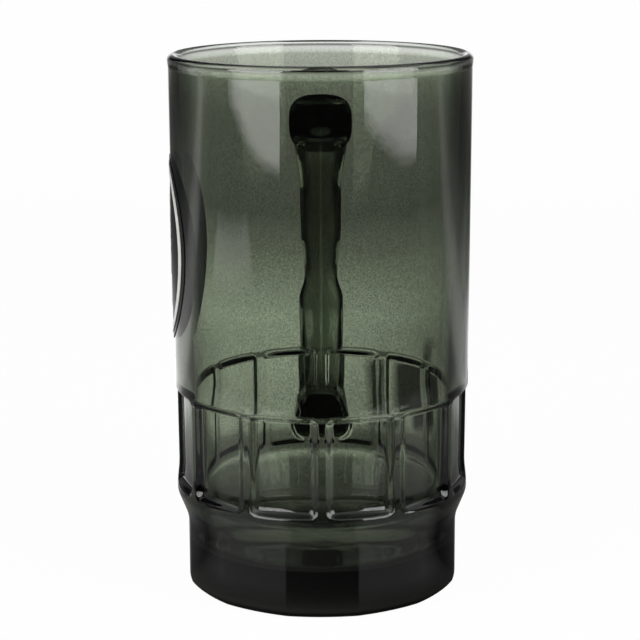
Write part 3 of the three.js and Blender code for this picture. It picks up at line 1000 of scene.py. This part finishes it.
print("sweep reaches", round(max(v.co.z for v in sweep.data.vertices), 2), "m up")

# %% [markdown]
# The camera sees the paper as plain white, but glass and reflections show it as the studio lit it: dark
# close to the mug, bright a little behind it, dim where it curves up and bright again high up. That gives
# the empty mug its darker belt. Many small lamps could light the sheet so, but a colour ramp paints it
# directly. A point's place on the ramp is its distance back plus its height.

# %% Belt along the paper
# Places along the sheet in metres, and the tone there
PAPER_BELT = [
    (0.0, 0.05), (0.05, 0.16), (0.12, 0.32), (0.15, 0.85), (0.26, 1.42), (0.31, 1.08), (0.38, 0.60),
    (0.46, 0.33), (0.63, 0.36), (0.68, 0.54), (0.74, 0.95), (0.78, 1.20), (0.83, 1.20), (0.88, 0.30)]

paper, tree, output = new_material("white_paper")
place = add_node(tree, "ShaderNodeTexCoord").outputs["Object"]
axes = add_node(tree, "ShaderNodeSeparateXYZ", {"Vector": place})
along_paper = add_node(tree, "ShaderNodeMath", {
    0: axes.outputs["Y"], 1: axes.outputs["Z"]}, operation="ADD").outputs["Value"]
belt = add_node(tree, "ShaderNodeValToRGB", {"Fac": along_paper})
for position, level in PAPER_BELT[1:-1]:
    belt.color_ramp.elements.new(position)
for element, (position, level) in zip(belt.color_ramp.elements, PAPER_BELT):
    element.position = position
    element.color = (level, level, level, 1)
print("belt:", len(belt.color_ramp.elements), "tones")

# %% [markdown]
# The light falls off to both sides of the sheet, and more so further back. It is also stronger on the left
# than on the right up to one distance behind the mug, where it is even. The glass bends both into the
# upright tones near the mug's edges.

# %% Light to the sides
SIDE_SPREAD = 0.1
SIDE_START = 0.05
SIDE_END = 0.22
# A place along the sheet, and the least share of light to the sides there
SIDE_NEAR = (0.18, 0.6)
SIDE_FAR = (0.27, 0.15)
LEFT_GAIN = 1.5
EVEN_REACH = 0.62
LEAST_REACH = 0.1
MOST_SLANT = 0.2

aside = add_node(tree, "ShaderNodeMath", {0: axes.outputs["X"]}, operation="ABSOLUTE").outputs["Value"]
beyond = add_node(tree, "ShaderNodeMath", {
    0: along_paper, 1: -SIDE_SPREAD, 2: aside}, operation="MULTIPLY_ADD")
fall = add_node(tree, "ShaderNodeMapRange", {
    "Value": beyond.outputs["Value"], "From Min": SIDE_START, "From Max": SIDE_END},
    interpolation_type="SMOOTHSTEP")
least = add_node(tree, "ShaderNodeMapRange", {
    "Value": along_paper, "From Min": SIDE_NEAR[0], "From Max": SIDE_FAR[0],
    "To Min": SIDE_NEAR[1], "To Max": SIDE_FAR[1]})
side = add_node(tree, "ShaderNodeMix", {0: fall.outputs["Result"], 2: 1.0, 3: least.outputs["Result"]})
reach = add_node(tree, "ShaderNodeMath", {0: along_paper, 1: LEAST_REACH}, operation="MAXIMUM")
fan = add_node(tree, "ShaderNodeMath", {
    0: axes.outputs["X"], 1: reach.outputs["Value"]}, operation="DIVIDE")
slant = add_node(tree, "ShaderNodeMath", {
    0: axes.outputs["X"], 1: -1 / EVEN_REACH, 2: fan.outputs["Value"]}, operation="MULTIPLY_ADD")
left = add_node(tree, "ShaderNodeMapRange", {
    "Value": slant.outputs["Value"], "From Min": -MOST_SLANT, "From Max": MOST_SLANT,
    "To Min": 1 + MOST_SLANT * LEFT_GAIN, "To Max": 1 - MOST_SLANT * LEFT_GAIN})
light = add_node(tree, "ShaderNodeMath", {
    0: left.outputs["Result"], 1: side.outputs[0]}, operation="MULTIPLY")
lit = add_node(tree, "ShaderNodeMix", {
    0: 1.0, 6: belt.outputs["Color"], 7: light.outputs["Value"]}, data_type="RGBA", blend_type="MULTIPLY")
print("light far left, as a share of the middle:", round(1 + MOST_SLANT * LEFT_GAIN, 2))

# %% [markdown]
# The panel at the back right is darker than its neighbours. It looks on a painted shadow, a soft-edged dark
# patch on the floor behind it. Four fades are multiplied, one for each edge.

# %% Painted shadow on the paper
SHADOW_LEVEL = 0.12
# Where each edge of the patch starts to fade in, and where it is full
SHADOW_ACROSS = [(0.024, 0.034), (0.088, 0.076)]
SHADOW_ALONG = [(0.135, 0.15), (0.222, 0.208)]

shadow = 1.0
for value, edges in ((axes.outputs["X"], SHADOW_ACROSS), (along_paper, SHADOW_ALONG)):
    for fade_start, fade_end in edges:
        edge = add_node(tree, "ShaderNodeMapRange", {
            "Value": value, "From Min": fade_start, "From Max": fade_end})
        shadow = add_node(tree, "ShaderNodeMath", {
            0: shadow, 1: edge.outputs["Result"]}, operation="MULTIPLY").outputs["Value"]
# The painted shadow darkens the paper inside the patch
dim = add_node(tree, "ShaderNodeMapRange", {"Value": shadow, "To Min": 1.0, "To Max": SHADOW_LEVEL})
lit = add_node(tree, "ShaderNodeMix", {
    0: 1.0, 6: lit.outputs[2], 7: dim.outputs["Result"]}, data_type="RGBA", blend_type="MULTIPLY")
print("dark patch:", round((SHADOW_ACROSS[1][0] - SHADOW_ACROSS[0][0]) / MM), "mm wide")

# %% [markdown]
# The thick foot bends the view down to the floor in front of it, and there light and shade are painted on the
# paper. The painted light is almost dark straight ahead of the front facet and lighter where the lines from
# the facet's edges fan out, a painted contact shadow darkens it again where the foot stands, and it ends a
# hand's breadth away.

# %% Painted light on the floor in front of the mug
NEAR_LEVEL = 0.30
NEAR_FULL = -0.02
NEAR_END = 0.19
NEAR_FADE = 0.04
# The edge of the front facet, to the side and forwards, and the slopes between which the floor's painted
# light grows stronger
FACET_EDGE = (0.0085, 0.0318)
FACET_FLARE = (0.42, 0.72)
AHEAD_LEVEL = 0.1
LEAST_AHEAD = 0.001
CONTACT_START = 0.036
CONTACT_END = 0.052

near = add_node(tree, "ShaderNodeMapRange", {
    "Value": axes.outputs["Y"], "From Min": NEAR_FULL, "From Max": 0.0, "To Min": NEAR_LEVEL, "To Max": 0.0})
ahead = add_node(tree, "ShaderNodeMath", {
    0: axes.outputs["Y"], 1: -1.0, 2: -FACET_EDGE[1]}, operation="MULTIPLY_ADD")
ahead = add_node(tree, "ShaderNodeMath", {
    0: ahead.outputs["Value"], 1: LEAST_AHEAD}, operation="MAXIMUM")
flare = add_node(tree, "ShaderNodeMath", {0: aside, 1: FACET_EDGE[0]}, operation="SUBTRACT")
flare = add_node(tree, "ShaderNodeMath", {
    0: flare.outputs["Value"], 1: ahead.outputs["Value"]}, operation="DIVIDE")
shade = add_node(tree, "ShaderNodeMapRange", {
    "Value": flare.outputs["Value"], "From Min": FACET_FLARE[0], "From Max": FACET_FLARE[1],
    "To Min": AHEAD_LEVEL, "To Max": 1.0})
off_axis = add_node(tree, "ShaderNodeVectorMath", {0: place}, operation="LENGTH").outputs["Value"]
# A painted contact shadow darkens the floor where the foot stands
painted_contact_shadow = add_node(tree, "ShaderNodeMapRange", {
    "Value": off_axis, "From Min": CONTACT_START, "From Max": CONTACT_END})
far = add_node(tree, "ShaderNodeMapRange", {
    "Value": off_axis, "From Min": NEAR_END, "From Max": NEAR_END + NEAR_FADE, "To Min": 1.0, "To Max": 0.0})
front = near.outputs["Result"]
for part in (shade, painted_contact_shadow, far):
    front = add_node(tree, "ShaderNodeMath", {
        0: front, 1: part.outputs["Result"]}, operation="MULTIPLY").outputs["Value"]
whole = add_node(tree, "ShaderNodeMix", {
    0: 1.0, 6: lit.outputs[2], 7: front}, data_type="RGBA", blend_type="ADD")
print("front floor reaches", round((NEAR_END + NEAR_FADE) / MM), "mm from the axis of the mug")

# %% [markdown]
# Seen from its sides or from behind, the mug would look through the glass at the unlit parts of the stage.
# There the paper has an even grey, which only rays straight through the glass see. Which part of the paper
# that is follows from its place: the direction from the mug to it.

# %% Even grey beside the mug
EVEN_LEVEL = 0.6
EVEN_START = 0.7
EVEN_FULL = 0.4
CLEAR_OF_FOOT = 0.11


def even_share(tree, backwards):
    """Is 1 for a ray that has come straight through the glass from a place that isn't behind the mug."""
    ray = add_node(tree, "ShaderNodeLightPath")
    turned = add_node(tree, "ShaderNodeMapRange", {
        "Value": backwards, "From Min": EVEN_START, "From Max": EVEN_FULL})
    straight = add_node(tree, "ShaderNodeMath", {
        0: ray.outputs["Glossy Depth"], 1: 0.5}, operation="LESS_THAN")
    through = add_node(tree, "ShaderNodeMath", {
        0: ray.outputs["Is Transmission Ray"], 1: straight.outputs["Value"]}, operation="MULTIPLY")
    return add_node(tree, "ShaderNodeMath", {
        0: turned.outputs["Result"], 1: through.outputs["Value"]}, operation="MULTIPLY").outputs["Value"]


from_mug = add_node(tree, "ShaderNodeVectorMath", {0: place}, operation="NORMALIZE")
from_mug = add_node(tree, "ShaderNodeSeparateXYZ", {"Vector": from_mug.outputs["Vector"]})
clear = add_node(tree, "ShaderNodeMapRange", {
    "Value": off_axis, "From Min": CONTACT_END, "From Max": CLEAR_OF_FOOT})
even = add_node(tree, "ShaderNodeMath", {
    0: even_share(tree, from_mug.outputs["Y"]), 1: clear.outputs["Result"]}, operation="MULTIPLY")
painted = add_node(tree, "ShaderNodeMix", {
    0: even.outputs["Value"], 6: whole.outputs[2], 7: (EVEN_LEVEL, EVEN_LEVEL, EVEN_LEVEL, 1)},
    data_type="RGBA")
print("even grey from", round(math.degrees(math.acos(EVEN_FULL))), "degrees off the way back")

# %% [markdown]
# The Light Path node tells what kind of ray has come. To the camera, the front of the sheet is white with a
# strength of 1, and to glass and reflections it has its painted tone. A few hundredths of real shading are
# left in, so that the mug keeps its soft shadow. A camera behind the sheet looks through it, as if the
# paper were taken away for that picture.

# %% What each ray sees of the paper
SHADING_LEFT = 0.03

ray = add_node(tree, "ShaderNodeLightPath")
tone = add_node(tree, "ShaderNodeMix", {
    0: ray.outputs["Is Camera Ray"], 6: painted.outputs[2], 7: (1, 1, 1, 1)}, data_type="RGBA").outputs[2]
seen = ray.outputs["Is Camera Ray"]
for kind in ("Is Glossy Ray", "Is Transmission Ray"):
    seen = add_node(tree, "ShaderNodeMath", {
        0: seen, 1: ray.outputs[kind]}, operation="MAXIMUM").outputs["Value"]
share = add_node(tree, "ShaderNodeMath", {0: seen, 1: 1 - SHADING_LEFT}, operation="MULTIPLY")
shaded = add_node(tree, "ShaderNodeBsdfDiffuse", {"Color": tone})
bright = add_node(tree, "ShaderNodeEmission", {"Color": tone, "Strength": 1.0})
front_side = add_node(tree, "ShaderNodeMixShader", {
    0: share.outputs["Value"], 1: shaded.outputs["BSDF"], 2: bright.outputs["Emission"]})
sheet = add_node(tree, "ShaderNodeNewGeometry")
from_behind = add_node(tree, "ShaderNodeMath", {
    0: sheet.outputs["Backfacing"], 1: ray.outputs["Is Camera Ray"]}, operation="MULTIPLY")
no_sheet = add_node(tree, "ShaderNodeBsdfTransparent")
surface = add_node(tree, "ShaderNodeMixShader", {
    0: from_behind.outputs["Value"], 1: front_side.outputs["Shader"], 2: no_sheet.outputs["BSDF"]})
tree.links.new(surface.outputs["Shader"], output.inputs["Surface"])
sweep.data.materials.append(paper)
print("paper:", len(tree.nodes), "nodes")

# %% [markdown]
# Two soft boxes stand to the left and right in front of the mug. Their lower edges come down to the table,
# and the curved glass shows each as an upright patch under the rim. Each fades out at its lower edge and
# grows brighter a little higher up, which an area lamp can do with nodes of its own.

# %% Studio light
# Name, azimuth in degrees, distance, width and height in metres, and lean in degrees
SOFTBOXES = [
    ("softbox_left", -49.0, 0.75, 0.57, 0.62, -4.5), ("softbox_right", 54.0, 0.75, 0.60, 0.62, -2.0)]
SOFTBOX_RADIANCE = 3.4
SOFTBOX_FADE = 0.03
SOFTBOX_LOW = 0.1
SOFTBOX_HIGH = 0.3
SOFTBOX_GAIN = 1.5


def grade_height(lamp):
    """Lets a soft box fade out at its lower edge and grow brighter higher up."""
    lamp.use_nodes = True
    tree = lamp.node_tree
    spot = add_node(tree, "ShaderNodeNewGeometry").outputs["Parametric"]
    height = add_node(tree, "ShaderNodeSeparateXYZ", {"Vector": spot}).outputs["Y"]
    fade = add_node(tree, "ShaderNodeMapRange", {
        "Value": height, "From Min": 0.0, "From Max": SOFTBOX_FADE},
        interpolation_type="SMOOTHSTEP")
    rise = add_node(tree, "ShaderNodeMapRange", {
        "Value": height, "From Min": SOFTBOX_LOW, "From Max": SOFTBOX_HIGH, "To Min": 1.0,
        "To Max": SOFTBOX_GAIN})
    glow = add_node(tree, "ShaderNodeMath", {
        0: fade.outputs["Result"], 1: rise.outputs["Result"]}, operation="MULTIPLY")
    tree.links.new(glow.outputs["Value"], tree.nodes["Emission"].inputs["Strength"])


for name, azimuth, distance, wide, tall, lean in SOFTBOXES:
    turn = math.radians(azimuth)
    spot = Vector((distance * math.sin(turn), -distance * math.cos(turn), tall / 2))
    bpy.ops.object.light_add(type="AREA", location=spot)
    box = bpy.context.object
    box.name = name
    box.data.shape = "RECTANGLE"
    box.data.size = wide
    box.data.size_y = tall
    box.data.energy = SOFTBOX_RADIANCE * math.pi * wide * tall
    facing = (Vector((0, 0, tall / 2)) - spot).to_track_quat("-Z", "Y").to_matrix()
    box.rotation_euler = (facing @ Matrix.Rotation(math.radians(lean), 3, "Z")).to_euler()
    grade_height(box.data)
print("lights:", [name for name, *_ in SOFTBOXES])

# %% [markdown]
# A card lies on the table on the left and glows, though it is no lamp: it paints a reflection, which the
# front of the mug shows as a weak second patch, below that of the soft box. Only reflections are let to see
# the card, so it leaves the view through the glass alone.

# %% Glowing card for a painted reflection
CARD_AZIMUTH = -69.0
CARD_DISTANCE = 0.475
CARD_WIDE = 0.30
CARD_DEEP = 0.24
CARD_RADIANCE = 0.95
CARD_SIDE_FADE = 0.12
CARD_END_FADE = 0.45

bpy.ops.object.select_all(action="DESELECT")
turn = math.radians(CARD_AZIMUTH)
bpy.ops.mesh.primitive_plane_add(
    size=1.0, location=(CARD_DISTANCE * math.sin(turn), -CARD_DISTANCE * math.cos(turn), MM),
    rotation=(0, 0, turn))
card = bpy.context.object
card.name = "reflection_glow_card"
card.scale = (CARD_WIDE, CARD_DEEP, 1.0)
bpy.ops.object.transform_apply(location=True, rotation=True, scale=True)
card.visible_camera = False
card.visible_diffuse = False
card.visible_transmission = False
card.visible_shadow = False
card_glow, tree, output = new_material("card_reflection_glow")
across = add_node(tree, "ShaderNodeTexCoord").outputs["UV"]
across = add_node(tree, "ShaderNodeSeparateXYZ", {"Vector": across})
strength = CARD_RADIANCE
for way, fade in (("X", CARD_SIDE_FADE), ("Y", CARD_END_FADE)):
    from_middle = add_node(tree, "ShaderNodeMath", {0: across.outputs[way], 1: 0.5}, operation="SUBTRACT")
    from_middle = add_node(tree, "ShaderNodeMath", {0: from_middle.outputs["Value"]}, operation="ABSOLUTE")
    edge = add_node(tree, "ShaderNodeMapRange", {
        "Value": from_middle.outputs["Value"], "From Min": 0.5, "From Max": 0.5 - fade},
        interpolation_type="SMOOTHSTEP")
    strength = add_node(tree, "ShaderNodeMath", {
        0: strength, 1: edge.outputs["Result"]}, operation="MULTIPLY").outputs["Value"]
# The card glows with emission: a painted reflection, not a lit surface
glow = add_node(tree, "ShaderNodeEmission", {"Color": (1, 1, 1, 1), "Strength": strength})
tree.links.new(glow.outputs["Emission"], output.inputs["Surface"])
card.data.materials.append(card_glow)
print("card is", round(CARD_DISTANCE / MM), "mm from the axis of the mug")

# %% [markdown]
# The room around the stage is bright behind the mug and almost dark behind the camera, with a band of light
# on the ceiling that the rim shows. The camera itself sees white everywhere, and a ray straight through the
# glass that isn't on its way back sees the same even grey as on the paper.

# %% Room
# Parts of a direction that points back or up, and the levels between them
BACK_WALL = (0.1, 0.9)
BACK_LEVELS = (0.02, 0.9)
CEILING = (0.45, 0.6)
CEILING_LEVEL = 0.7
ZENITH = (0.78, 0.9)
ZENITH_SHARE = 0.1

world = bpy.data.worlds.new("studio_room")
bpy.context.scene.world = world
world.use_nodes = True
tree = world.node_tree
tree.nodes.clear()
facing = add_node(tree, "ShaderNodeTexCoord").outputs["Generated"]
axes = add_node(tree, "ShaderNodeSeparateXYZ", {"Vector": facing})
back = add_node(tree, "ShaderNodeMapRange", {
    "Value": axes.outputs["Y"], "From Min": BACK_WALL[0], "From Max": BACK_WALL[1],
    "To Min": BACK_LEVELS[0], "To Max": BACK_LEVELS[1]})
ceiling = add_node(tree, "ShaderNodeMapRange", {
    "Value": axes.outputs["Z"], "From Min": CEILING[0], "From Max": CEILING[1], "To Min": 0.0,
    "To Max": CEILING_LEVEL})
zenith = add_node(tree, "ShaderNodeMapRange", {
    "Value": axes.outputs["Z"], "From Min": ZENITH[0], "From Max": ZENITH[1], "To Min": 1.0,
    "To Max": ZENITH_SHARE})
above = add_node(tree, "ShaderNodeMath", {
    0: ceiling.outputs["Result"], 1: zenith.outputs["Result"]}, operation="MULTIPLY")
around = add_node(tree, "ShaderNodeMath", {
    0: back.outputs["Result"], 1: above.outputs["Value"]}, operation="MAXIMUM")
level = add_node(tree, "ShaderNodeMix", {
    0: even_share(tree, axes.outputs["Y"]), 2: around.outputs["Value"], 3: EVEN_LEVEL})
ray = add_node(tree, "ShaderNodeLightPath")
level = add_node(tree, "ShaderNodeMath", {
    0: level.outputs[0], 1: ray.outputs["Is Camera Ray"]}, operation="MAXIMUM")
room = add_node(tree, "ShaderNodeBackground", {"Color": (1, 1, 1, 1), "Strength": level.outputs["Value"]})
add_node(tree, "ShaderNodeOutputWorld", {"Surface": room.outputs["Background"]})
print("room:", world.name)

# %% [markdown]
# Glass needs many bounces: a ray through both walls and the handle crosses eight surfaces before it has
# left the mug, and more where it is reflected inside.

# %% Bounces
cycles = bpy.context.scene.cycles
cycles.max_bounces = 32
cycles.transmission_bounces = 28
cycles.glossy_bounces = 12
cycles.transparent_max_bounces = 16
print("bounces:", cycles.max_bounces)
